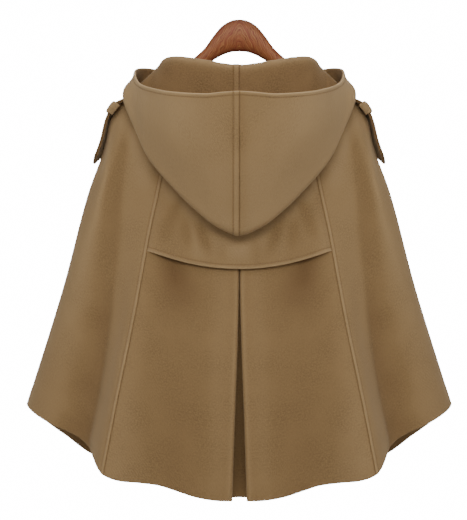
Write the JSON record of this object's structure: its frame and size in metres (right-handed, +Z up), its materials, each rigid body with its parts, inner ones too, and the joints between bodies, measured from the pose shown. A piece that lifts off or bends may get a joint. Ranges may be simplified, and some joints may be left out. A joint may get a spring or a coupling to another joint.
{
  "type": "hooded cape coat on a wooden hanger",
  "caption": "Hooded wool cape coat with a back storm flap, an inverted back pleat and shoulder straps, hanging on a shaped wooden hanger.",
  "frame": {"origin": "top of the hanger's neck, at its middle, where the hook would stand", "axes": "+Z up; the wearer faces +Y, so the coat's back faces -Y; +X is the wearer's right"},
  "size_m": [0.678, 0.289, 0.7522],
  "materials": {
    "wool": "matt napped camel wool melton",
    "wood": "red-brown stained wood under satin varnish",
    "horn": "dark horn-look button resin"
  },
  "bodies": {
    "root": {"back_yoke": "wool", "storm_flap": "wool", "back_left": "wool", "back_right": "wool", "pleat_underlay": "wool", "side_back_left": "wool", "side_back_right": "wool", "side_front_left": "wool", "side_front_right": "wool", "front_left": "wool", "front_right": "wool", "hood_left": "wool", "hood_right": "wool", "epaulette_left": "wool", "epaulette_right": "wool", "keeper_left": "wool", "keeper_right": "wool", "hanger": "wood", "button_1": "horn", "button_2": "horn", "button_3": "horn", "button_4": "horn"}
  },
  "joints": []
}
